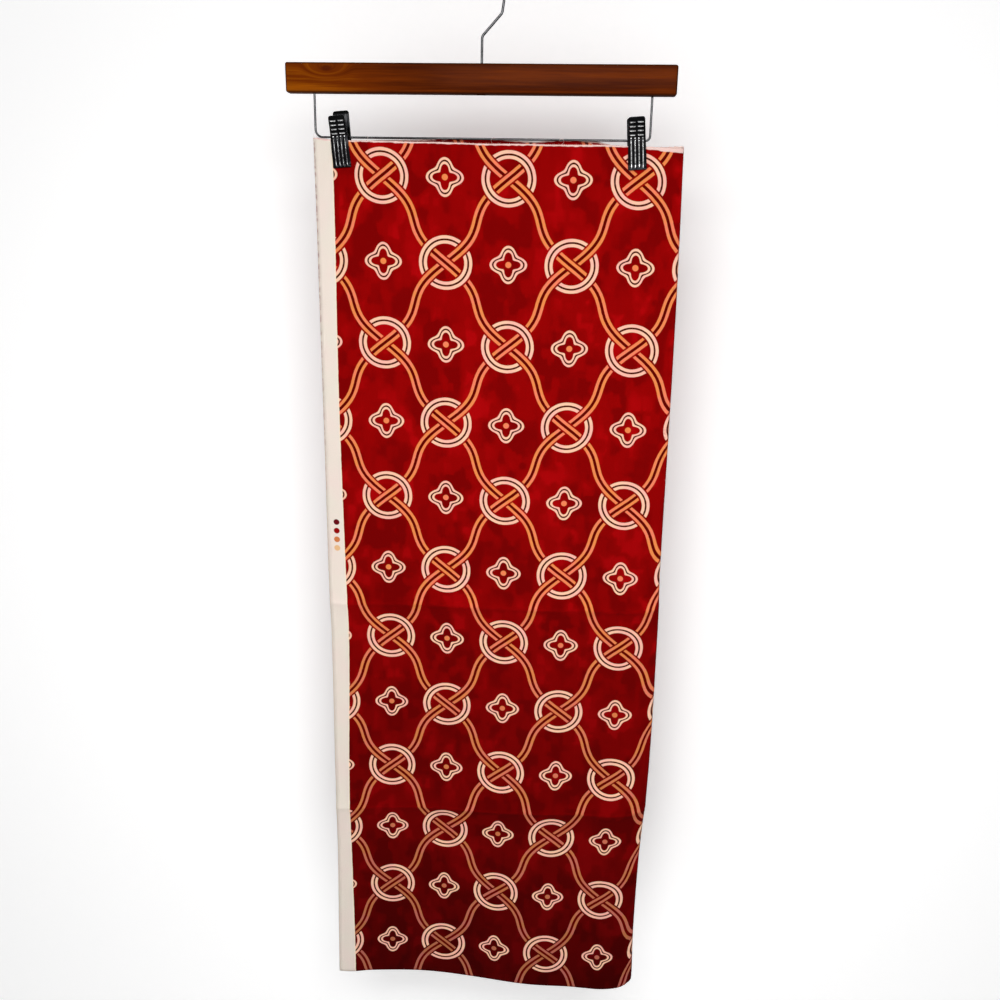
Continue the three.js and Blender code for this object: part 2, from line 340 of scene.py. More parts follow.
outline = table(  # left and right edges down the hang
    "share left right",
    (0, -0.1530, 0.1824),
    (0.12, -0.1522, 0.1846),
    (0.26, -0.1515, 0.1858),
    (0.45, -0.1514, 0.1864),
    (0.53, -0.1500, 0.1882),
    (0.7, -0.1508, 0.1884),
    (0.82, -0.1506, 0.1842),
    (0.93, -0.1524, 0.1832),
    (1, -0.1532, 0.1846),
)
edgeHeights = table(  # top edge and foot, from the middle of the bar
    "x top foot",
    (-0.153, -0.0508, -0.9674),
    (-0.139, -0.0522, -0.9683),
    (-0.117, -0.0528, -0.9658),
    (-0.060, -0.0535, -0.9630),
    (0.000, -0.0543, -0.9648),
    (0.060, -0.0546, -0.9662),
    (0.110, -0.0544, -0.9645),
    (0.129, -0.0547, -0.9654),
    (0.151, -0.0551, -0.9660),
    (0.172, -0.0563, -0.9612),
    (0.184, -0.0568, -0.9490),
)
crossCreases = table(  # where the length was folded: a broad bow forward with a narrow ridge on it
    "share tilt bow reach ridge narrow",
    (0.4925, -0.022, 0.0030, 0.018, 0.0018, 0.0055),
    (0.7529, -0.046, 0.0038, 0.022, 0.0024, 0.0060),
)
creaseMiddle = 0.07  # each tilts about this place across
longCreases = table(  # down the cloth: place across, top and bottom share, height and half width
    "x from to bow half drift",
    (0.0355, 0.335, 0.445, 0.0011, 0.0035, 0.004),
    (0.083, 0.56, 0.74, -0.0012, 0.030, 0.01),
    (-0.045, 0.52, 0.72, 0.0010, 0.034, -0.02),
    (0.060, 0.02, 0.30, -0.0010, 0.045, 0.01),
)
clips = table(
    "name x front back lean shine",  # front and back: how far each handle stands above the rod; shine: how strong the ribs' painted highlight is
    ("clip_left", -0.1288, 0.0175, 0.0238, 4.9, 0.16),
    ("clip_right", 0.1400, 0.0191, 0.0205, 4.4, 0.5),
)


def curveAt(rows, key, at, column):  # a smooth curve through the rows of a table
    places = [row[key] for row in rows]
    if at <= places[0]:
        return rows[0][column]
    if at >= places[-1]:
        return rows[-1][column]
    i = next(k for k in range(1, len(rows)) if places[k] >= at)

    def slope(k):
        before, after = max(k - 1, 0), min(k + 1, len(rows) - 1)
        return (rows[after][column] - rows[before][column]) / (places[after] - places[before])

    span = places[i] - places[i - 1]
    t = (at - places[i - 1]) / span
    low, high = rows[i - 1][column], rows[i][column]
    level = (1 + 2 * t) * (1 - t) ** 2 * low + t * (1 - t) ** 2 * span * slope(i - 1)
    return level + t * t * (3 - 2 * t) * high + t * t * (t - 1) * span * slope(i)


def toClip(x):
    return min(abs(x - clip["x"]) for clip in clips)


def looseness(x, share):
    s = clothSet
    aside = s["looseAside"] + s["looseTop"] * math.exp(-share / s["looseTopReach"])
    return 1 + max(aside * ease(toClip(x), 0.012, 0.05), s["looseBelow"] * ease(share, 0.035, 0.2))


def creaseAt(crease, x):
    return crease["share"] + crease["tilt"] * (x - creaseMiddle)


def alongCreases(share, x):  # rows of the mesh bend so that one of them runs along each crease
    for crease in crossCreases:
        near = math.exp(-((share - crease["share"]) / clothSet["rowsBend"]) ** 2)
        share += (creaseAt(crease, x) - crease["share"]) * near
    return share


def bundleDepth(x, share):  # how far the middle of the bundle stands back from the rod's plane
    s = clothSet
    phase = 2 * math.pi * (x - s["waveCrest"]) / s["waveLength"]
    wave = s["waveDepth"] * share * share * math.cos(phase)
    bow = 0.0
    for crease in crossCreases:
        away = abs(share - creaseAt(crease, x)) * s["hang"]
        broad = crease["bow"] * math.exp(-away / crease["reach"])
        sharp = crease["ridge"] * math.exp(-away / crease["narrow"])
        bow += (broad + sharp) * mix(s["leftFlat"], 1.0, ease(x, -0.14, -0.03))
    for crease in longCreases:
        down = (share - crease["from"]) / (crease["to"] - crease["from"])
        if 0 < down < 1:
            across = (x - crease["x"] - crease["drift"] * down) / crease["half"]
            bow += crease["bow"] * math.exp(-across * across) * math.sin(math.pi * down) ** 2
    ripple = s["ripple"] * math.sin(x * 46 + 5 * share) * math.sin(share * 17 + 1.3)
    return wave - bow + ripple * ease(share, 0.05, 0.3)


topSet = {  # how the layers' raw edges stand one behind the other
    "arches": [(-0.070, -0.015, 0.020, 0.045), (0.040, 0.075, 0.095, 0.126)],  # of the rearmost layers
    "archHigh": 0.0034,
    "eachBack": 0.0002,
    "eachFront": 0.00012,
    "secondBack": 0.0017,
    "sunk": 0.0003,
    "corner": 0.0022,  # the front's inner layers rise at the right corner
    "waver": {True: 0.0003, False: 0.0002},  # of the back's edges and the front's
}


def topRise(x, level, back):
    s = topSet
    beside = ease(toClip(x), 0.012, 0.04)
    if back:
        arch = sum(ease(x, a, b) * (1 - ease(x, c, d)) for a, b, c, d in s["arches"])
        lift = s["archHigh"] * arch + s["eachBack"] * level + s["secondBack"] * (level == 2.5)
        return beside * (-s["sunk"] if level < 2 else lift) + s["waver"][back] * math.sin(x * 61 + level * 2)
    lift = s["waver"][back] * math.sin(x * 83 + level * 3) - s["eachFront"] * (3.5 - level)
    return beside * lift + s["corner"] * ease(x, 0.158, 0.182) * (level < 3)


def sectionColumns(fine):  # across the cloth: the outer panel, then back and forth inside it
    s = clothSet
    right = s["panel"] - 1.5 * s["pitch"] - s["margin"]
    left = 0.001 + 0.5 * s["pitch"] + s["margin"]
    inner = s["innerSteps"]
    panels = table(
        "level from to steps",
        (3.5, 0.0, right, s["outerSteps"] if fine else s["outerStepsQuick"]),
        (0.5, right, left, inner),
        (1.5, left, right, inner),
        (2.5, right, 0.0012, inner),
    )
    folds = table(
        "x level radius from to steps",
        (right, 2, 1.5, 90, -90, 8),
        (left, 1, 0.5, -90, -270, 5),
        (right, 2, 0.5, -90, 90, 5),
    )
    columns = []
    for i, panel in enumerate(panels):
        for k in range(panel["steps"] + 1):
            x = mix(panel["from"], panel["to"], k / panel["steps"])
            columns.append({"x": x, "level": panel["level"]})
        for fold in folds[i:i + 1]:
            for k in range(1, fold["steps"]):
                angle = math.radians(mix(fold["from"], fold["to"], k / fold["steps"]))
                x = fold["x"] + fold["radius"] * s["pitch"] * math.cos(angle)
                columns.append({"x": x, "level": fold["level"] + fold["radius"] * math.sin(angle)})
    flat = 0.0
    for before, column in zip([columns[0]] + columns, columns):
        flat += math.hypot(column["x"] - before["x"], (column["level"] - before["level"]) * s["pitch"])
        column["flat"] = flat
    return columns


def lengthRows(fine):  # down the front, round the foot and up the back
    s = clothSet
    shares = {0.0, 0.0015, 0.004, 0.008, 1.0}  # closer together at the top edge
    count = round(s["hang"] / (s["rowStep"] if fine else s["rowStepQuick"]))
    shares.update(k / count for k in range(2, count))
    beside = s["creaseRows"]
    for crease in crossCreases:
        shares = {each for each in shares if abs(each - crease["share"]) > s["rowsClear"]}
        shares.update(crease["share"] + s["creaseRow"] * k for k in range(-beside, beside + 1))
    shares = sorted(shares)
    rows = [{"leg": "front", "share": share, "flat": share * s["hang"]} for share in shares]
    roll, steps = math.pi * s["footRoll"], s["footSteps"]
    for k in range(1, steps):
        flat = s["hang"] + roll * k / steps
        rows.append({"leg": "foot", "share": 1.0, "angle": math.pi * k / steps, "flat": flat})
    for share in [each for i, each in enumerate(shares) if i < 4 or i % 2 == 0 or each == 1.0][::-1]:
        rows.append({"leg": "back", "share": share, "flat": s["hang"] * (2 - share) + roll})
    return rows


def rowPlace(column, row):  # how far down the hang, and along the flat cloth
    s = clothSet
    if row["leg"] == "foot":
        return 1.0, row["flat"]
    share = alongCreases(row["share"], s["left"] + column["x"])
    stretch = (share - row["share"]) * s["hang"]
    return share, row["flat"] + (stretch if row["leg"] == "front" else -stretch)


def clothPoint(column, row):
    s = clothSet
    share, leg, across = rowPlace(column, row)[0], row["leg"], column["x"] / s["panel"]
    x = mix(curveAt(outline, "share", share, "left"), curveAt(outline, "share", share, "right"), across)
    if leg == "back":
        x += s["backAside"] * share * (across - 0.3)
    nominal, level = s["left"] + column["x"], column["level"]
    depth = level * s["pitch"] * looseness(nominal, share)
    foot = barZ + curveAt(edgeHeights, "x", nominal, "foot") + gripped * looseness(nominal, 1.0)
    top = barZ + curveAt(edgeHeights, "x", nominal, "top") + topRise(nominal, level, leg == "back")
    middle = bundleDepth(nominal, share)
    if leg == "foot":
        angle = row["angle"]
        return x, middle - depth * math.cos(angle), foot - depth * math.sin(angle)
    return x, middle + (depth if leg == "back" else -depth), mix(top, foot, share)


bakeStrips = {  # where each part of the cloth lies in its texture: wide strips for the outer panel
    "front": (0.002, 0.382),
    "back": (0.388, 0.768),
    "inner": (0.775, 0.88),
    "wrongSide": (0.885, 0.98),
    "rim": (0.985, 0.997),
    "long": (0.002, 0.998),
    "outerEnds": 0.012,  # how far past the outer panel its strips reach
}


def spreadForTextures(cloth, wide, long):
    s = bakeStrips
    flatMap = cloth.data.uv_layers["flat"].data
    spread = cloth.data.uv_layers.new(name="OFBake").data
    outer = clothSet["panel"] + s["outerEnds"]
    rims = sum(1 for face in cloth.data.polygons if face.material_index == 2)
    done = 0
    for face in cloth.data.polygons:
        corners = list(face.loop_indices)
        middle = sum((flatMap[i].uv for i in corners), Vector((0, 0))) / len(corners)
        for place, i in enumerate(corners):
            u, v = flatMap[i].uv
            if face.material_index == 2:
                cell = (done + 0.1 + 0.8 * (place in (2, 3))) / rims
                spread[i].uv = (s["rim"][place in (1, 2)], cell)
                continue
            if face.material_index == 1:
                strip, across, along = "wrongSide", u / wide, v / long
            elif middle.x > outer:
                strip, across, along = "inner", (u - outer) / (wide - outer), v / long
            elif middle.y < long / 2:
                strip, across, along = "front", u / outer, 1 - 2 * v / long
            else:
                strip, across, along = "back", u / outer, 2 * v / long - 1
            spread[i].uv = (mix(*s[strip], across), mix(*s["long"], along))
        done += face.material_index == 2


def makeCloth(materials):
    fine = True
    columns, rows = sectionColumns(fine), lengthRows(fine)
    across = len(columns)
    points = [clothPoint(column, row) for row in rows for column in columns]
    faces, corners = [], []
    for r in range(len(rows) - 1):
        for c in range(across - 1):
            square = [(r, c), (r + 1, c), (r + 1, c + 1), (r, c + 1)]
            faces.append([a * across + b for a, b in square])
            corners.extend((columns[b]["flat"], rowPlace(columns[b], rows[a])[1]) for a, b in square)
    cloth = newMesh("hung_cloth", points, faces)
    flatMap = cloth.data.uv_layers.new(name="flat")
    for loop, corner in zip(flatMap.data, corners):
        loop.uv = corner
    for material in materials:
        cloth.data.materials.append(material)
    only(cloth)
    bpy.ops.object.shade_smooth()
    slots = {"material_offset": 1, "material_offset_rim": 2}
    finishWith(cloth, "SOLIDIFY", thickness=clothSet["thick"], offset=0.0, **slots)
    spreadForTextures(cloth, columns[-1]["flat"], rows[-1]["flat"])
    return cloth


# The print and the weave.
printSet = {
    "repeatWide": 0.1168,
    "repeatTall": 0.1530,
    "selvedge": 0.0163,  # width of the bare strip, on average
    "selvedgeDrift": (0.0005, 0.0021),  # how far its inner edge wanders, at the top and the foot
    "driftLength": 0.455,
    "shiftAcross": 0.062,
    "shiftDown": 0.030,
    "swell": 0.052,  # how far the strands swing into an ogee
    "ring": 0.0212,
    "crossing": 0.55,  # share of a ring inside which the strands cross the other way
    "flower": 0.0118,
    "flowerLobes": 0.22,
    "flowerDot": 0.0028,
    "creamGap": 0.00085,
    "creamEdge": 0.0037,
    "orangeGap": 0.00135,
    "orangeEdge": 0.0041,
    "flowerGap": 0.0008,
    "flowerEdge": 0.0030,
    "clear": 0.0016,  # ground left beside a strand that passes over
    "soft": 0.00018,  # half the width over which a printed edge fades
    "stray": 0.0003,  # how far the printed edges waver
    "creaseBrightLine": 0.10,
    "groundShadeAtFoot": (0.22, 0.32, 0.32, 1.0),  # painted shade: darkens the ground down the hang, standing in for light that falls off towards the foot
    "orangeShadeAtFoot": (0.50, 0.56, 0.84, 1.0),
    "weave": 0.55,
}
dyes = {
    "red": colour(148, 2, 3),
    "deepRed": colour(126, 1, 2),
    "brightRed": colour(172, 4, 8),
    "cream": colour(255, 202, 169),
    "pinkCream": colour(254, 188, 169),
    "orange": colour(246, 130, 96),
    "gold": colour(240, 138, 76),
    "creamLine": colour(74, 14, 4),
    "orangeLine": colour(96, 2, 0),
    "selvedge": colour(240, 230, 216),
    "selvedgeWarm": colour(244, 226, 216),
    "paleLine": colour(255, 236, 206),
    "redFray": colour(176, 120, 122),
    "wrongSide": colour(226, 196, 186),
    "rawEdge": colour(246, 210, 202),
    "threadPale": colour(248, 226, 218),
    "threadRed": colour(232, 158, 150),
}
dotSet = {
    "across": 0.0098,
    "down": 0.3655,
    "step": 0.0092,
    "radius": 0.0030,
    "colours": [(104, 14, 24), (150, 10, 12), (212, 126, 74), (238, 190, 138)],
}


def makeDoubleLine():  # one strand of the print laid over the rest: two lines and a darker one between
    inputs = {
        "Under": grey(0.0), "Ground": grey(0.0), "Line": grey(1.0), "Between": grey(0.0),
        "Distance": 0.0, "Gap": 0.001, "Edge": 0.004, "Clear": 0.0015, "Amount": 1.0,
    }
    group, given, made = newGroup("doubleLine", inputs, {"Color": "Color"})
    soft, shade = printSet["soft"], given["Under"]
    limits = {"Ground": given["Edge"] + given["Clear"], "Line": given["Edge"], "Between": given["Gap"]}
    for name, limit in limits.items():
        inside = fade(given["Distance"], limit - soft, limit + soft)
        shade = blend(inside * given["Amount"], shade, given[name])
    plug(shade, made["Color"])
    return group


def makePlainWeave():  # threads of a plain weave: their height, and a shade where they pass under
    inputs = {"Flat": [0.0, 0.0, 0.0], "Thread": 0.00055}
    group, given, made = newGroup("plainWeave", inputs, {"Height": "Float", "Shade": "Float"})
    slub = noise(given["Flat"], 420.0)
    places = [place / given["Thread"] + slub * 0.35 for place in split(given["Flat"])[:2]]
    warp, weft = [calc("SINE", place * math.pi) for place in places]
    over = ramp(warp * weft, -0.4, 0.4)
    height = abs(warp) * over + abs(weft) * (1.0 - over)
    plug(height + slub * 0.4, made["Height"])
    plug(ramp(height, 0.1, 0.9, 0.86, 1.04), made["Shade"])
    return group


doubleLine = makeDoubleLine()
plainWeave = makePlainWeave()


def newCotton(name):  # cloth, and the place on it when it lies flat
    material, tree, sockets = newMaterial(name, Roughness=1.0, Specular_IOR_Level=0.03)
    return material, sockets, output("UVMap", tree=tree, uv_map="flat")


def weaveOver(sockets, flat, shade, strength):
    weave = placeGroup(plainWeave, {"Flat": flat})
    addBump(sockets, noise(flat, 34.0, 3.0) * 3.0 + weave["Height"], strength, 0.00012)
    plug(blend(1.0, shade, weave["Shade"], "MULTIPLY"), sockets["Base Color"])


def clouded(flat):  # the red ground: soft blotches, taller than wide, with squarish lights in them
    tall = moved(flat, Scale=(1.0, 0.7, 1.0))
    cells = {"Vector": tall, "Scale": 95.0, "Smoothness": 0.7, "Randomness": 0.8}
    squares = output("TexVoronoi", cells, "Color", feature="SMOOTH_F1", distance="CHEBYCHEV")
    tone = output("SeparateColor", {"Color": squares}) * 0.42 + noise(tall, 24.0, 1.0, 0.4) * 0.8
    dark = fade(tone, 0.42, 0.62, "SMOOTHSTEP")
    bright = ramp(tone, 0.64, 0.84, 0.0, 1.0, "SMOOTHSTEP")
    return blend(bright, blend(dark, dyes["red"], dyes["deepRed"]), dyes["brightRed"])


def creaseBrightLine(right, along):  # the ground is made a little brighter along the folds across the length
    lines = []
    for crease in crossCreases:
        start = clothSet["hang"] * creaseAt(crease, clothSet["left"])
        away = abs(along - (right * (clothSet["hang"] * crease["tilt"]) + start))
        lines.append(fade(away, 0.0002, 0.0024, "SMOOTHSTEP"))
    return calc("MAXIMUM", *lines)


def bareSelvedge(flat, right, start, low, rough):
    s, soft = dotSet, printSet["soft"]
    bare = blend(ramp(noise(flat, 24.0), 0.35, 0.7), dyes["selvedge"], dyes["selvedgeWarm"])
    for k, shown in enumerate(s["colours"]):
        away = lengthOf(moved(flat, Location=(-s["across"], -(s["down"] + k * s["step"]), 0.0)))
        bare = blend(fade(away, s["radius"] - soft, s["radius"] + soft), bare, colour(*shown))
    bare = blend(ramp(start - right, 0.0003, 0.0010, 0.8, 0.0), bare, dyes["paleLine"])
    outside = fade(right, 0.0006, 0.0022) * ramp(rough, 0.44, 0.60)
    return blend(outside * ramp(low, 0.10, 0.45, 0.6, 0.0), bare, dyes["redFray"])


def makePrint(length):
    s = printSet
    material, sockets, flat = newCotton("printedCotton")
    right, along = split(flat)[:2]
    wide, tall = s["repeatWide"], s["repeatTall"]
    across, down = (right - s["shiftAcross"]) / wide, (along - s["shiftDown"]) / tall
    turn = down * (4 * math.pi)
    swing = calc("SINE", turn) * s["swell"] + down
    slope = calc("COSINE", turn) * (s["swell"] * 4 * math.pi * wide / tall) + wide / tall
    narrow = calc("DIVIDE", wide, calc("SQRT", slope * slope + 1.0))
    stray = noise(flat, 300.0, 1.0) * s["stray"] - s["stray"] / 2

    def inRepeat(place):  # from -0.5 to 0.5 about the nearest whole number
        return calc("WRAP", place, 0.5, -0.5)

    def fromPoints(shifts, lobes, size):  # the distance to a lattice of points, and to outlines round them
        nearest, outlines = [], []
        for x, y in shifts:
            dx, dy = inRepeat(across + x) * wide, inRepeat(down + y) * tall
            square = dx * dx + (dy * dy + 1e-8)
            product = dx * dy / square
            quarter = product * product * -8.0 + 1.0
            gone = calc("SQRT", square)
            nearest.append(gone)
            outlines.append(abs(gone - (quarter * (lobes * size) + size)) + stray)
        return calc("MINIMUM", *nearest), calc("MINIMUM", *outlines)

    rising = abs(inRepeat(across + swing)) * narrow + stray
    falling = abs(inRepeat(across - swing)) * narrow + stray
    centre, ring = fromPoints([(0.0, 0.0), (0.5, 0.5)], 0.0, s["ring"])
    inFlower, flower = fromPoints([(0.5, 0.0), (0.0, 0.5)], s["flowerLobes"], s["flower"])
    half = inRepeat(calc("ROUND", across * 2.0) * 0.5)
    odd = calc("GREATER_THAN", abs(half), 0.25)  # each strand goes over one and under the next
    under = (falling - rising) * odd + rising
    over = rising + falling - under

    low = ramp(abs(along - length / 2), length / 2, 0.0)  # 0 at the raw ends at the top, 1 at the foot
    hue = noise(flat, 62.0, 1.0)
    # painted shade: the ground is darkened towards the foot
    ground = blend(ramp(low, 0.30, 1.0), clouded(flat), s["groundShadeAtFoot"], "MULTIPLY")
    ground = blend(creaseBrightLine(right, along) * s["creaseBrightLine"], ground, dyes["brightRed"])
    cream = blend(ramp(hue, 0.42, 0.6), dyes["cream"], dyes["pinkCream"])
    orange = blend(ramp(hue, 0.4, 0.62), dyes["gold"], dyes["orange"])
    # painted shade: the orange is darkened towards the foot too
    orange = blend(ramp(low, 0.42, 1.0), orange, s["orangeShadeAtFoot"], "MULTIPLY")
    lines = {"orange": (orange, "orangeLine"), "cream": (cream, "creamLine"), "flower": (cream, "creamLine")}
    core = calc("LESS_THAN", centre, s["ring"] * s["crossing"])
    shade = ground
    for distance, name, amount in (
        (under, "orange", 1.0), (flower, "flower", 1.0), (ring, "cream", 1.0),
        (over, "orange", 1.0), (under, "orange", core),
    ):
        inputs = {
            "Under": shade, "Ground": ground, "Line": lines[name][0], "Between": dyes[lines[name][1]],
            "Distance": distance, "Gap": s[name + "Gap"], "Edge": s[name + "Edge"],
            "Clear": s["clear"], "Amount": amount,
        }
        shade = placeGroup(doubleLine, inputs)["Color"]
    shade = blend(fade(inFlower, s["flowerDot"] - 0.0002, s["flowerDot"] + 0.0002), shade, orange)

    rough = noise(flat, 150.0)
    wave = calc("COSINE", along * (2 * math.pi / s["driftLength"]))
    start = wave * ramp(low, 0.0, 1.0, *s["selvedgeDrift"]) + s["selvedge"] + rough * 0.0006
    ended = 4 * clothSet["panel"] - s["selvedge"]
    printed = ramp(right - start, 0.0001, 0.0004) * fade(right, ended, ended + 0.0002)
    shade = blend(printed, bareSelvedge(flat, right, start, low, rough), shade)

    fromEnd = (1.0 - abs(along * (-2 / length) + 1.0)) * (length / 2)
    corner = ramp(right, 0.285, 0.328, 0.0, 0.0024) * fade(right, 0.334, 0.340)
    ragged = ramp(rough, 0.3, 0.7, 0.0006, 0.0015) + corner  # the bare edge is wider at the right corner
    shade = blend(fade(fromEnd - ragged, -0.0002, 0.0004), shade, dyes["rawEdge"])
    weaveOver(sockets, flat, shade, s["weave"])
    return material


def makePlainCotton(name, dye):
    material, sockets, flat = newCotton(name)
    weaveOver(sockets, flat, dyes[dye], 0.6)
    return material


def makeThreadCotton():  # loose threads, from white to the red of the dye
    material, tree, sockets = newMaterial("rawThreads", Roughness=1.0, Specular_IOR_Level=0.03)
    place = objectPlace(tree)
    shade = blend(ramp(noise(place, 240.0), 0.42, 0.66), dyes["threadPale"], dyes["threadRed"])
    plug(shade, sockets["Base Color"])
    addBump(sockets, noise(place, 3000.0), 0.3, 0.0001)
    return material


fringeSet = {
    "seed": 11,
    "every": 0.00085,
    "thick": 0.00022,
    "short": 0.0002,
    "long": 0.0008,
    "root": 0.0008,  # how far down in the cloth a thread starts
    "fromClip": 0.0112,
    "byRod": 0.003,  # in front of or behind it; a thread there ends below it
    "belowRod": 0.0016,
    "rightCorner": 0.160,  # past here they are half as long again
    "curlFrom": 4,  # of the 14 steps of a loose thread
    "steps": 14,
}
looseThreads = table(  # at the top edge: where it comes out, how long it is, its curl and lean
    "x length curl lean",
    (-0.150, 0.006, -260, -70),
    (-0.104, 0.007, 190, 40),
    (0.012, 0.009, -230, -30),
    (0.071, 0.012, 330, 62),
    (0.096, 0.008, -210, 50),
    (0.176, 0.007, 200, 75),
)


def tubeAlong(route, thick, points, faces):  # a three-sided tube, closed at both ends
    base = len(points)
    for i, here in enumerate(route):
        way = (route[min(i + 1, len(route) - 1)] - route[max(i - 1, 0)]).normalized()
        side = way.cross(Vector((0.2, 0.9, 0.3))).normalized()
        other = way.cross(side)
        for k in range(3):
            angle = 2 * math.pi * k / 3
            points.append(here + (side * math.cos(angle) + other * math.sin(angle)) * thick / 2)
        if i:
            a = base + 3 * (i - 1)
            faces.extend((a + k, a + (k + 1) % 3, a + 3 + (k + 1) % 3, a + 3 + k) for k in range(3))
    last = base + 3 * (len(route) - 1)
    faces.extend([(base + 2, base + 1, base), (last, last + 1, last + 2)])


def makeFringe(material):
    s = fringeSet
    rng = random.Random(s["seed"])
    points, faces = [], []

    def atTop(x, level, leg):
        return Vector(clothPoint({"x": x, "level": level}, {"leg": leg, "share": 0.0, "flat": 0.0}))

    down = Vector((0, 0, s["root"]))
    for leg in ("front", "back"):
        for level in (0.5, 1.5, 2.5, 3.5):
            step = s["every"] * (1 if level in (0.5, 3.5) else 2)
            for i in range(int(clothSet["panel"] / step)):
                x = (i + rng.random()) * step
                length = rng.uniform(s["short"], s["long"])
                lean, tip = rng.gauss(0, 0.4), rng.gauss(0, 0.25)
                nominal = clothSet["left"] + x
                if toClip(nominal) < s["fromClip"]:
                    continue
                root = atTop(x, level, leg)
                length *= 1.5 if nominal > s["rightCorner"] else 1
                if abs(root.y) < s["byRod"]:
                    length = min(length, rodZ - s["belowRod"] - root.z)
                if length < s["short"] * 0.5:
                    continue
                route = [root - down, root]
                route += [root + Vector((lean * t * t, tip * t, t)) * length for t in (0.5, 1.0)]
                tubeAlong(route, s["thick"], points, faces)
    for thread in looseThreads:
        here = atTop(thread["x"] - clothSet["left"], 3.5, "front") - down
        route, turn, steps = [here], math.radians(90 - thread["lean"]), s["steps"]
        for k in range(steps):
            here = here + Vector((math.cos(turn), -0.12, math.sin(turn))) * thread["length"] / steps
            turn += math.radians(thread["curl"]) / steps * (k >= s["curlFrom"])
            route.append(here)
        tubeAlong(route, s["thick"] * 1.1, points, faces)
    fringe = newMesh("frayed_threads", [tuple(each) for each in points], faces)
    fringe.data.materials.append(material)
    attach(fringe, "hanger")
    return fringe


sheetWide, sheetLong = sectionColumns(True)[-1]["flat"], lengthRows(True)[-1]["flat"]
wrongSide, cutEdge = makePlainCotton("wrongSide", "wrongSide"), makePlainCotton("cutEdge", "rawEdge")
cloth = makeCloth([makePrint(sheetLong), wrongSide, cutEdge])
fringe = makeFringe(makeThreadCotton())
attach(cloth, "hanger")
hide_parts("cloth")

# Bent wire: the hook and the clip rod.
hookSet = {
    "wire": 0.0023,
    "bend": 0.0189,  # radius of the big bend, at the middle of the wire
    "joins": -8,  # degrees at which the shank runs into it
    "opens": 182,  # degrees that it goes round
    "shank": 0.0352,  # lower and upper turn of the shank, above the middle of the bar
    "shankTop": 0.0539,
    "lowBend": 0.005,
    "topBend": 0.006,
    "aside": 0.0174,
    "headRadius": 0.0036,
    "headThick": 0.0024,
    "headEdge": 0.0005,
    "headAt": 0.00585,  # top of the head above the bar's underside
}
rodSet = {"wire": 0.0020, "half": 0.152, "inserted": 0.008, "bendLeft": 0.0065, "bendRight": 0.0042}


def headingTo(heading):
    return Vector((math.cos(heading), 0, math.sin(heading)))


def turnRound(place, heading, turn, radius):  # a positive turn goes from +X towards +Z
    side = math.copysign(1, turn)
    centre = place + Vector((-math.sin(heading), 0, math.cos(heading))) * radius * side
    steps = max(5, round(abs(turn) / 0.11))
    bpy.ops.mesh.spin(steps=steps, angle=turn, center=centre, axis=(0, 1, 0), use_auto_merge=False)
    return centre + Matrix.Rotation(turn, 3, (0, -1, 0)) @ (place - centre)


def domeTip(place, heading, radius):
    before = 0.0
    for degrees in (25, 50, 72):
        angle = math.radians(degrees)
        step = headingTo(heading) * radius * (math.sin(angle) - math.sin(before))
        place = place + step
        pull(step)
        shrink = math.cos(angle) / math.cos(before)
        bpy.ops.transform.resize(value=(shrink, shrink, shrink), center_override=place)
        before = angle


def bendWire(name, corners, thick, arc=None, sides=20):  # through corners in the XZ plane and their bends
    headings = [math.atan2(b["z"] - a["z"], b["x"] - a["x"]) for a, b in zip(corners, corners[1:])]
    place = Vector((corners[0]["x"], 0, corners[0]["z"]))
    ring = {"vertices": sides, "radius": thick / 2, "location": place}
    facing = (0, math.pi / 2 - headings[0], 0)
    wire = added(bpy.ops.mesh.primitive_circle_add, name, rotation=facing, **ring)
    editing(True)
    pickAll()
    used = 0.0
    for i, heading in enumerate(headings):
        a, b = corners[i], corners[i + 1]
        length = math.hypot(b["x"] - a["x"], b["z"] - a["z"])
        turn = headings[i + 1] - heading if i + 1 < len(headings) else 0.0
        reach = b.get("bend", 0.0) * math.tan(abs(turn) / 2)
        step = headingTo(heading) * (length - used - reach)
        pull(step)
        place = place + step
        if turn:
            place = turnRound(place, heading, turn, b["bend"])
        used = reach
    heading = headings[-1]
    if arc:
        place = turnRound(place, heading, math.radians(arc["degrees"]), arc["radius"])
        heading += math.radians(arc["degrees"])
    domeTip(place, heading, thick / 2)
    return closeUp(wire)


def makeHook(material):
    s = hookSet
    joins, middle = math.radians(s["joins"]), s["wire"] / 2 - s["bend"]
    headZ = barLow.z + s["headAt"] - s["headThick"] / 2
    corners = table(
        "x z bend",
        (0.0, headZ),
        (0.0, barZ + s["shank"], s["lowBend"]),
        (s["aside"], barZ + s["shankTop"], s["topBend"]),
        (s["bend"] * math.cos(joins), middle + s["bend"] * math.sin(joins)),
    )
    hook = bendWire("hook_wire", corners, s["wire"], {"degrees": s["opens"], "radius": s["bend"]}, 24)
    head = drum("head", s["headRadius"], s["headThick"], (0, 0, headZ))
    finishWith(head, "BEVEL", width=s["headEdge"], segments=3)
    combine(hook, head, "UNION")
    handOver(hook, "hook", "hook", material)


def makeRod(material):
    s = rodSet
    half, end = s["half"], barLow.z + s["inserted"] - s["wire"] / 2
    turns = [(-half, rodZ, s["bendLeft"]), (half, rodZ, s["bendRight"])]
    corners = table("x z bend", (-half, end), *turns, (half, end))
    rod = bendWire("rod_wire", corners, s["wire"])
    handOver(rod, "hanger", "clip_rod", material)


# The wooden bar.
barSet = {
    "length": 0.350,
    "deep": 0.012,
    "tall": 0.0254,
    "offset": -0.002,
    "round": 0.0021,
    "play": 0.00035,  # of the wires in their holes
    "headPlay": 0.001,
    "recess": 0.006,  # for the hook's head
    "through": 0.001,  # how far a drill goes past a face
}


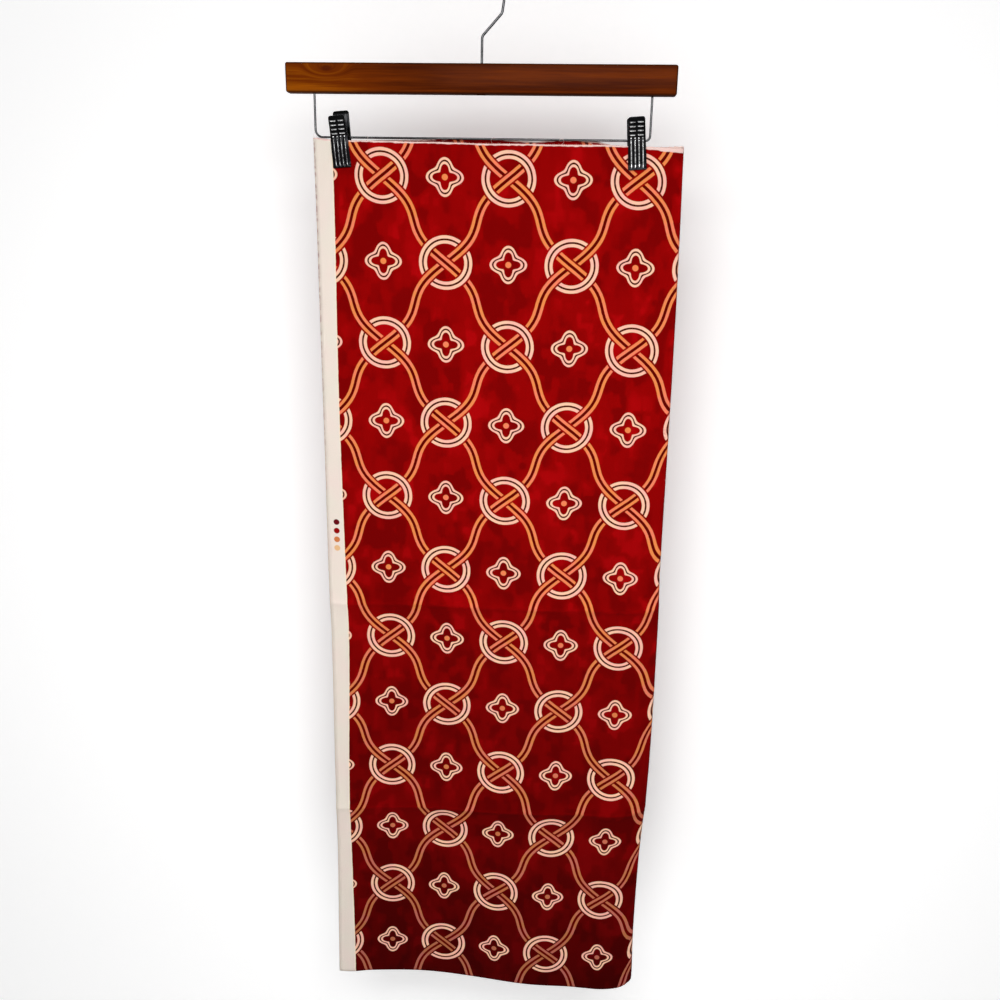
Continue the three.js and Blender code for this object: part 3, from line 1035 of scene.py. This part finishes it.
def makeBar(material):
    s = barSet
    scale, middle = (s["length"], s["deep"], s["tall"]), (s["offset"], 0, barZ)
    bar = added(bpy.ops.mesh.primitive_cube_add, "hanger_bar", scale, size=1, location=middle)
    finishWith(bar, "BEVEL", width=s["round"], segments=5)
    half, rodRadius = rodSet["half"], rodSet["wire"] / 2 + s["play"]
    rodTop = barLow.z + rodSet["inserted"] + s["play"]
    holes = table(
        "x radius top",
        (0.0, hookSet["wire"] / 2 + s["play"], barHigh.z + s["through"]),
        (0.0, hookSet["headRadius"] + s["headPlay"], barLow.z + s["recess"]),
        (-half, rodRadius, rodTop),
        (half, rodRadius, rodTop),
    )
    under = barLow.z - s["through"]
    for hole in holes:
        middle = (hole["x"], 0, (hole["top"] + under) / 2)
        combine(bar, drum("drill", hole["radius"], hole["top"] - under, middle), "DIFFERENCE")
    handOver(bar, "hanger", "wood_bar", material)


# The spring clips. Heights are from the rod, depths from the middle of the bundle.
plateSet = {
    "thick": 0.0009,
    "top": 0.0150,
    "foot": 0.0170,
    "length": 0.044,
    "corner": 0.0022,
    "footCorner": 0.00077,
    "flange": 0.0026,
    "flangeFoot": -0.0011,
    "seat": 0.00032,  # between the jaw and the cloth
    "ribs": (-0.0052, -0.0017, 0.0017, 0.0052),
    "ribTop": 0.0186,  # from the top of the handle
    "ribFoot": 0.0012,  # from the foot
    "ribRise": (0.0007, 0.0012),  # how long a rib takes to rise, at its top and its foot
    "ribHigh": 0.0007,
    "ribSlope": {0.00095: 0.0, 0.00062: 0.62, 0.00030: 0.93, 0.0: 1.0},  # share of height beside the line
    "pillRows": (0.0040, 0.0075, 0.0110, 0.0145),  # from the top of the handle
    "pillAcross": 0.0035,
    "pillHalf": 0.0018,
    "pillRadius": 0.0011,
    "pillFlat": 0.75,
    "pillSunk": 0.0001,
    "dotRow": 0.0175,
    "dotRadius": 0.00078,
    "dotFlat": 0.9,
    "dotReach": 0.0012,  # plain metal above and below the dots
    "edge": 0.00016,
    "earAt": {"front": 0.00695, "back": 0.0057},
    "earRadius": 0.0025,
    "earThick": 0.0009,
    "earHole": 0.00158,
    "earLow": -0.0020,
    "earShort": 0.0003,  # it ends inside the plate
}
springSet = {"wire": 0.0007, "coil": 0.00175, "pitch": 0.0011, "turns": 4, "arm": 0.01055, "lean": 48.4}


def plateProfile(rise):  # outer face from the top of the handle to the foot, seen from the side
    foot = rise - plateSet["length"]
    outer = gripped + plateSet["seat"] + plateSet["thick"]
    profile = table(
        "depth height",
        (0.0044, rise),
        (0.0036, rise - 0.0035),
        (0.0011, 0.0035),
        (0.0008, -0.001),
        (0.0009, -0.012),
        (0.0, foot + 0.005),
        (0.0, foot + 0.0026),
        (0.0007, foot),
    )
    for row in profile:
        row["depth"] += outer
    return profile


def plateDepth(profile, height):
    for high, low in zip(profile, profile[1:]):
        if height >= low["height"]:
            share = (height - low["height"]) / (high["height"] - low["height"])
            return mix(low["depth"], high["depth"], share)
    return profile[-1]["depth"]


def makeGrip(name, half, radius, flat):  # a raised grip: a flat ball, drawn out to both sides by half
    ball = {"segments": 16, "ring_count": 8, "radius": radius}
    grip = added(bpy.ops.mesh.primitive_uv_sphere_add, name, (1, flat, 1), **ball)
    if half:
        editing(True)
        for side in (-1, 1):
            pick(grip, "VERT", lambda v: v.co.x * side > radius * 0.1)
            bpy.ops.transform.translate(value=(half * side, 0, 0))
        editing(False)
    return grip


def plateStrip(name, rise):
    s = plateSet
    profile = plateProfile(rise)
    footZ = profile[-1]["height"]
    near = 1e-5

    def widthAt(height):
        return mix(s["foot"], s["top"], (height - footZ) / s["length"])

    first, second = profile[0], profile[1]
    fall = first["height"] - second["height"]
    inward = second["depth"] - first["depth"]
    middle = (0, -(first["depth"] + second["depth"]) / 2, (first["height"] + second["height"]) / 2)
    plane = {"size": 1, "location": middle, "rotation": (math.atan2(fall, inward), 0, 0)}
    scale = (s["top"], math.hypot(fall, inward), 1)
    strip = added(bpy.ops.mesh.primitive_plane_add, name, scale, **plane)
    editing(True)
    for before, after in zip(profile[1:], profile[2:]):
        low = min(v.co.z for v in bmesh.from_edit_mesh(strip.data).verts)
        pick(strip, "EDGE", lambda e: all(v.co.z < low + 1e-6 for v in e.verts))
        pull((0, before["depth"] - after["depth"], after["height"] - before["height"]))
        wider = widthAt(after["height"]) / widthAt(before["height"])
        bpy.ops.transform.resize(value=(wider, 1, 1), center_override=(0, 0, 0))
    pick(strip, "VERT", lambda v: v.co.z > rise - 1e-6)
    bpy.ops.mesh.bevel(offset=s["corner"], segments=5, affect="VERTICES")
    pick(strip, "VERT", lambda v: v.co.z < footZ + 1e-6)
    bpy.ops.mesh.bevel(offset=s["footCorner"], segments=3, affect="VERTICES")

    topRib, footRib = rise - s["ribTop"], footZ + s["ribFoot"]
    under, over = topRib - s["ribRise"][0], footRib + s["ribRise"][1]
    for height in (topRib, under, over, footRib):
        pickAll()
        bpy.ops.mesh.bisect(plane_co=(0, 0, height), plane_no=(0, 0, 1))
    for rib in s["ribs"]:
        for away in s["ribSlope"]:
            for side in (1, -1) if away else (1,):
                pickAll()
                bpy.ops.mesh.bisect(plane_co=(rib + side * away, 0, 0), plane_no=(1, 0, 0))
    for away, share in s["ribSlope"].items():
        pick(strip, "VERT", lambda v: over - near < v.co.z < under + near and any(
            abs(abs(v.co.x - rib) - away) < 2e-5 for rib in s["ribs"]))
        bpy.ops.transform.translate(value=(0, -s["ribHigh"] * share, 0))

    pick(strip, "EDGE", lambda e: all(
        s["flangeFoot"] < v.co.z < rise - s["corner"] + near and abs(v.co.x) > widthAt(v.co.z) / 2 - near
        for v in e.verts))
    pull((0, s["flange"], 0))
    pickAll()
    bpy.ops.mesh.normals_make_consistent(inside=False)
    shape = bmesh.from_edit_mesh(strip.data)
    if sum(face.normal.y * face.calc_area() for face in shape.faces) > 0:
        bpy.ops.mesh.flip_normals()
    editing(False)
    finishWith(strip, "SOLIDIFY", thickness=s["thick"], offset=-1.0, use_even_offset=False)
    bevel = {"limit_method": "ANGLE", "angle_limit": math.radians(55)}
    finishWith(strip, "BEVEL", width=s["edge"], segments=2, **bevel)
    return strip, profile


def makeEar(x, depth):
    s = plateSet
    reach, low, high = depth - s["earShort"], s["earLow"], s["earRadius"]
    middle = (x, -reach / 2, (low + high) / 2)
    scale = (s["earThick"], reach, high - low)
    ear = added(bpy.ops.mesh.primitive_cube_add, "ear", scale, size=1, location=middle)
    sideways = (0, math.pi / 2, 0)
    combine(ear, drum("round", high, s["earThick"], (x, 0, 0), sideways), "UNION")
    combine(ear, drum("hole", s["earHole"], s["earThick"] * 3, (x, 0, 0), sideways), "DIFFERENCE")
    return ear


def markPaintedHighlights(plate, profile, shine):  # painted highlight: 1 where the plating is painted bright, on the grips' faces turned one way and on the ribs' crests
    dots, reach = profile[0]["height"] - plateSet["dotRow"], plateSet["dotReach"]
    mask = plate.data.attributes.new("wearAndHighlight", "FLOAT", "POINT")
    for vertex, value in zip(plate.data.vertices, mask.data):
        out = -vertex.co.y - plateDepth(profile, vertex.co.z)
        if vertex.co.z > dots + reach:
            facing = -vertex.normal.z - 0.3 * vertex.normal.x
            value.value = ease(out, 0.00008, 0.0002) * ease(facing, 0.0, 0.4)
        elif vertex.co.z > dots - reach:
            value.value = ease(out, 0.0002, 0.0005)
        else:
            value.value = ease(out, 0.00042, 0.00066) * shine


def makePlate(clip, side, material):
    s = plateSet
    rise = clip[side]
    plate, profile = plateStrip(clip["name"] + "_" + side + "_plate", rise)
    for x in (-s["earAt"][side], s["earAt"][side]):
        combine(plate, makeEar(x, plateDepth(profile, 0.0)), "UNION")
    pill = makeGrip("pill", s["pillHalf"], s["pillRadius"], s["pillFlat"])
    dot = makeGrip("dot", 0.0, s["dotRadius"], s["dotFlat"])
    sides = (-s["pillAcross"], s["pillAcross"])
    places = [(pill, x, down, s["pillSunk"]) for down in s["pillRows"] for x in sides]
    places += [(dot, x, s["dotRow"], 0.0) for x in s["ribs"]]
    grips = []
    for grip, x, down, sunk in places:
        twin = inScene(grip.name, grip.data.copy())
        twin.location = (x, sunk - plateDepth(profile, rise - down), rise - down)
        grips.append(settle(twin))
    for spare in (pill, dot):
        bpy.data.objects.remove(spare)
    only(plate)
    for grip in grips:
        grip.select_set(True)
    bpy.ops.object.join()
    markPaintedHighlights(plate, profile, clip["shine"])
    turn = Matrix.Rotation(math.pi, 4, "Z") if side == "back" else Matrix()
    lean = Matrix.Rotation(math.radians(-clip["lean"]), 4, "Y")
    plate.matrix_world = Matrix.Translation((clip["x"], 0, rodZ)) @ lean @ turn
    settle(plate)
    handOver(plate, "hanger", clip["name"] + "_" + side, material)


def makeSpring(clip, material):
    s = springSet
    lean = math.radians(s["lean"])
    touch = lean - math.acos(s["coil"] / s["arm"])
    sweep = 2 * math.pi * s["turns"] + math.pi + 2 * touch
    advance = s["pitch"] * sweep / (2 * math.pi)
    begin = (-advance / 2, -s["coil"] * math.cos(touch), s["coil"] * math.sin(touch))
    ring = {"vertices": 10, "radius": s["wire"] / 2, "location": begin, "rotation": (-touch, 0, 0)}
    spring = added(bpy.ops.mesh.primitive_circle_add, clip["name"] + "_coil", **ring)
    finishWith(spring, "SCREW", axis="X", angle=sweep, screw_offset=advance, steps=90, render_steps=90)
    editing(True)
    for side in (-1, 1):
        root, tip = [
            Vector((side * advance / 2, side * out * math.cos(angle), out * math.sin(angle)))
            for out, angle in ((s["coil"], touch), (s["arm"], lean))
        ]
        way, reach = (tip - root).normalized(), s["wire"] * 0.6
        pick(spring, "VERT", lambda v: (v.co - root).length < reach and abs((v.co - root).dot(way)) < 2e-5)
        bpy.ops.mesh.select_mode(type="EDGE")
        pull(tip - root)
    closeUp(spring)
    spring.location = (clip["x"], 0, rodZ)
    settle(spring)
    handOver(spring, "hanger", clip["name"] + "_spring", material)


# Metal and wood.
# painted reflection: the plating's base colours are near black, standing in for chrome that reflects a dark
# room
platingSet = {  # roughness goes from low to high
    "wire": {
        "low": 0.08, "high": 0.2, "bright": (0.06, 0.06, 0.062, 1.0), "dull": (0.038, 0.038, 0.04, 1.0),
    },
    "clip": {
        "low": 0.10, "high": 0.24, "bright": (0.007, 0.007, 0.0075, 1.0),
        "dull": (0.0025, 0.0025, 0.003, 1.0), "crest": (0.95, 0.95, 0.96, 1.0),
    },
}
woodSet = {
    "light": colour(150, 76, 6),
    "mid": colour(107, 42, 2),
    "dark": colour(70, 22, 1),
    "rim": colour(42, 20, 8),
    "knotDye": colour(70, 18, 4),
    "knot": (-0.137, -0.006, 0.0078),  # from the middle of the bar
    "along": 1.6,  # how fast the grain changes along the bar, and across it
    "across": 40.0,
}


def makeRubbed():  # handling marks on plated metal: a roughness that wanders, and fine pits
    inputs = {"Place": [0.0, 0.0, 0.0], "Low": 0.12, "High": 0.3}
    outputs = {"Roughness": "Float", "Height": "Float", "Dull": "Float"}
    group, given, made = newGroup("rubbedPlating", inputs, outputs)
    worn = ramp(noise(given["Place"], 140.0, 3.0), 0.35, 0.7)
    plug(worn * (given["High"] - given["Low"]) + given["Low"], made["Roughness"])
    plug(noise(given["Place"], 1500.0), made["Height"])
    plug(worn, made["Dull"])
    return group


rubbedPlating = makeRubbed()


def makePlating(kind):
    s = platingSet[kind]
    material, tree, sockets = newMaterial(kind + "Plating", Metallic=1.0, Specular_Tint=grey(0.3))
    place = objectPlace(tree)
    wearAndHighlight = placeGroup(rubbedPlating, {"Place": place, "Low": s["low"], "High": s["high"]})
    plug(wearAndHighlight["Roughness"], sockets["Roughness"])
    shade = blend(wearAndHighlight["Dull"], s["bright"], s["dull"])
    # painted highlight: the raised grips and ribs are painted near white where the mask marks them
    if "crest" in s:
        mask = output("Attribute", None, "Fac", tree=tree, attribute_name="wearAndHighlight")
        shade = blend(mask * ramp(noise(place, 700.0), 0.36, 0.56, 0.25, 1.0), shade, s["crest"])
    plug(shade, sockets["Base Color"])
    addBump(sockets, wearAndHighlight["Height"], 0.25, 0.00005)
    return material


def makeWood():
    s = woodSet
    finish = {"Coat_Weight": 0.01, "Coat_Roughness": 0.15, "Specular_IOR_Level": 0.01}
    material, tree, sockets = newMaterial("lacqueredWood", **finish)
    centred = moved(objectPlace(tree), Location=(-barSet["offset"], 0.0, -barZ))
    x, y, z = split(centred)
    fromKnot = moved(centred, Location=tuple(-each for each in s["knot"]))
    away = lengthOf(moved(fromKnot, Scale=(0.45, 1.0, 1.0)))
    knot = fade(away, 0.001, 0.0035, "SMOOTHSTEP")
    bent = fade(away, 0.0, 0.012, "SMOOTHSTEP") * 0.02
    across = s["across"]
    flow = output("CombineXYZ", {"X": x * s["along"], "Y": y * across, "Z": (z + bent) * across})
    streaks = noise(flow, 18.0, 3.0)
    tone = streaks * 0.25 + noise(flow, 3.2, 4.0, 0.55) * 0.75
    # painted light: the bar is painted lighter towards its left end, most along its lower part, and darker
    # to the right
    tone = ramp(x, -0.175, -0.06) * -0.14 + tone
    tone = ramp(x, -0.04, -0.17) * ramp(z, 0.004, -0.009) * 0.10 + tone
    shade = blend(ramp(tone, 0.24, 0.46), s["dark"], s["mid"])
    shade = blend(ramp(tone, 0.46, 0.66), shade, s["light"])
    shade = blend(knot * 0.75, shade, s["knotDye"])
    halfTall, halfLong = barSet["tall"] / 2, barSet["length"] / 2
    overTop = ramp(abs(z), halfTall - 0.0019, halfTall - 0.0008)
    overEnd = ramp(abs(x), halfLong - 0.0020, halfLong - 0.0008)
    shade = blend(calc("MAXIMUM", overTop, overEnd) * 0.7, shade, s["rim"])
    plug(shade, sockets["Base Color"])
    plug(ramp(streaks, 0.3, 0.7, 0.42, 0.58), sockets["Roughness"])
    addBump(sockets, streaks, 0.15, 0.0002)
    return material


wirePlating = makePlating("wire")
clipPlating = makePlating("clip")
makeBar(makeWood())
print("bar made")
makeHook(wirePlating)
makeRod(wirePlating)
print("hook and rod made")
for clip in clips:
    for side in ("front", "back"):
        makePlate(clip, side, clipPlating)
    makeSpring(clip, wirePlating)
print("clips made")

# The stage.
stageSet = {
    "wallAt": 0.21,
    "floorDrop": 0.75,
    "halfWide": 3.0,
    "high": 2.0,
    "paint": 0.9,
    "glowTop": 0.44,  # what the camera sees added to the paint, above and at the foot
    "glowFoot": 0.42,
    "glowDown": -1.2,
    "nearness": 0.25,  # how close a thing darkens the glow into a painted shadow, and how steeply
    "falloff": 9.0,
    "world": 0.20,
}
lamps = table(
    "name place target size spread power",
    ("keyLamp", (0.14, -1.25, 0.12), (0.02, 0.0, -0.9), (0.8, 0.4), 180, 10.3),
    ("lowLamp", (0.12, -1.3, 0.45), (0.02, 0.0, -1.1), (0.7, 0.3), 72, 2.5),
    ("sparkLamp", (-0.35, -0.9, 0.35), (0.0, 0.0, -0.15), (0.12, 0.12), 180, 0.9),
    ("backLamp", (0.3, 1.6, 0.4), (0.0, 0.0, -0.5), (1.0, 1.0), 180, 14),
)


def seenDirectly(tree):  # by the camera, or in metal and glass
    path = addNode("LightPath", tree=tree).outputs
    rays = [Field(path["Is " + kind + " Ray"]) for kind in ("Camera", "Glossy", "Transmission")]
    return calc("MAXIMUM", rays[0], calc("MAXIMUM", rays[1], rays[2]))


def makeBackdrop():  # pale paint, lifted towards white by a glow that the camera sees; the glow fades where things stand close, a painted shadow round them
    s = stageSet
    material, tree, sockets = newMaterial("backdrop", Roughness=1.0, Specular_IOR_Level=0.0)
    sockets["Base Color"].default_value = grey(s["paint"])
    lit = Field(tree.nodes["Principled BSDF"].outputs[0])
    geometry = addNode("NewGeometry", tree=tree).outputs
    height = split(Field(geometry["Position"]))[2]
    nearby = output("AmbientOcclusion", {"Distance": s["nearness"]}, "AO", tree=tree, samples=8)
    paleness = ramp(height, 0.0, s["glowDown"], s["glowTop"], s["glowFoot"])
    # painted shadow: the glow is dimmed near things standing close to the backdrop
    shaded = paleness * calc("POWER", nearby, s["falloff"])
    glow = output("Emission", {"Color": grey(1.0), "Strength": seenDirectly(tree) * shaded})
    both = output("AddShader", {0: lit, 1: glow})
    clear = output("BsdfTransparent", tree=tree)
    oneSided = output("MixShader", {0: Field(geometry["Backfacing"]), 1: both, 2: clear})
    plug(oneSided, tree.nodes["Material Output"].inputs["Surface"])
    return material


def makeStage():
    s = stageSet
    half, floorZ = s["halfWide"], clothFoot - s["floorDrop"]
    ends = [(-half, -half), (half, -half), (half, half), (-half, half)]
    floor = newMesh("floor", [(x, y, floorZ) for x, y in ends], [(0, 1, 2, 3)])
    wallEnds = [(-half, floorZ), (half, floorZ), (half, s["high"]), (-half, s["high"])]
    wall = newMesh("wall", [(x, s["wallAt"], z) for x, z in wallEnds], [(0, 1, 2, 3)])
    wall.visible_diffuse = False  # it neither lights nor shades the object
    wall.visible_shadow = False
    backdrop = makeBackdrop()
    for piece in (floor, wall):
        piece.data.materials.append(backdrop)


def addLamp(lamp):
    data = bpy.data.lights.new(lamp["name"], "AREA")
    data.shape = "RECTANGLE"
    data.size, data.size_y = lamp["size"]
    data.spread = math.radians(lamp["spread"])
    data.energy = lamp["power"]
    light = inScene(lamp["name"], data)
    light.location = lamp["place"]
    light.rotation_mode = "QUATERNION"
    light.rotation_quaternion = (Vector(lamp["target"]) - light.location).to_track_quat("-Z", "Y")


def makeWorld(strength):  # white where it is seen, and dimmer as a light
    world = bpy.data.worlds.new("world")
    bpy.context.scene.world = world
    world.use_nodes = True
    background = world.node_tree.nodes["Background"]
    background.inputs["Color"].default_value = grey(1.0)
    light = seenDirectly(world.node_tree) * (1.0 - strength) + strength
    plug(light, background.inputs["Strength"])


makeStage()
makeWorld(stageSet["world"])
for lamp in lamps:
    addLamp(lamp)
scene = bpy.context.scene
scene.view_settings.view_transform = "Standard"
print("stage and lamps made")
